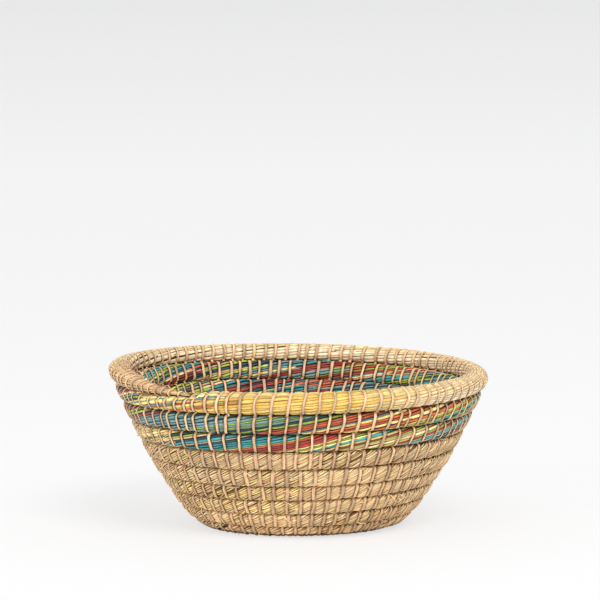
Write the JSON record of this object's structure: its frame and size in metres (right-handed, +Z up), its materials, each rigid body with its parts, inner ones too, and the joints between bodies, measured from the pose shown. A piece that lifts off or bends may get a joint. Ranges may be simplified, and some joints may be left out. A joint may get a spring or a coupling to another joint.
{
  "type": "coiled grass bowl",
  "caption": "Round coiled grass basket bowl with flared walls, two dyed rows under a twine-bound rim row and a tapered coil end.",
  "frame": {"origin": "on the bowl's axis, at the underside of the base", "axes": "+Z up along the bowl's axis; -Y is the front, where the rim row starts beside the coil's tapered end"},
  "size_m": [0.1997, 0.1975, 0.089],
  "materials": {
    "straw": "dry natural grass stems, pale straw yellow to beige, satin",
    "twine": "twisted plant-fibre twine, pale peach beige, matte",
    "blue_grass": "dyed grass stems, dusty blue, satin",
    "green_grass": "dyed grass stems, lime green, satin",
    "orange_grass": "dyed grass stems, orange, satin",
    "teal_grass": "dyed grass stems, teal, satin",
    "red_grass": "dyed grass stems, brick red, satin",
    "navy_grass": "dyed grass stems, dark blue green, satin"
  },
  "bodies": {
    "root": {"base_coil": "straw", "dyed_rows_coil": "straw", "dyed_strand_01_blue": "blue_grass", "dyed_strand_02_green": "green_grass", "dyed_strand_03_orange": "orange_grass", "dyed_strand_04_teal": "teal_grass", "dyed_strand_05_red": "red_grass", "dyed_strand_06_navy": "navy_grass", "dyed_strand_07_blue": "blue_grass", "dyed_strand_08_green": "green_grass", "dyed_strand_09_orange": "orange_grass", "dyed_strand_10_teal": "teal_grass", "dyed_strand_11_red": "red_grass", "dyed_strand_12_navy": "navy_grass", "dyed_strand_13_blue": "blue_grass", "dyed_strand_14_green": "green_grass", "dyed_strand_15_orange": "orange_grass", "dyed_strand_16_teal": "teal_grass", "dyed_strand_17_red": "red_grass", "dyed_strand_18_navy": "navy_grass", "dyed_strand_19_blue": "blue_grass", "dyed_strand_20_green": "green_grass", "dyed_strand_21_orange": "orange_grass", "dyed_strand_22_teal": "teal_grass", "dyed_strand_23_red": "red_grass", "dyed_strand_24_navy": "navy_grass", "dyed_strand_25_blue": "blue_grass", "rim_coil": "straw", "rim_twine": "twine", "wall_coil": "straw"}
  },
  "joints": []
}
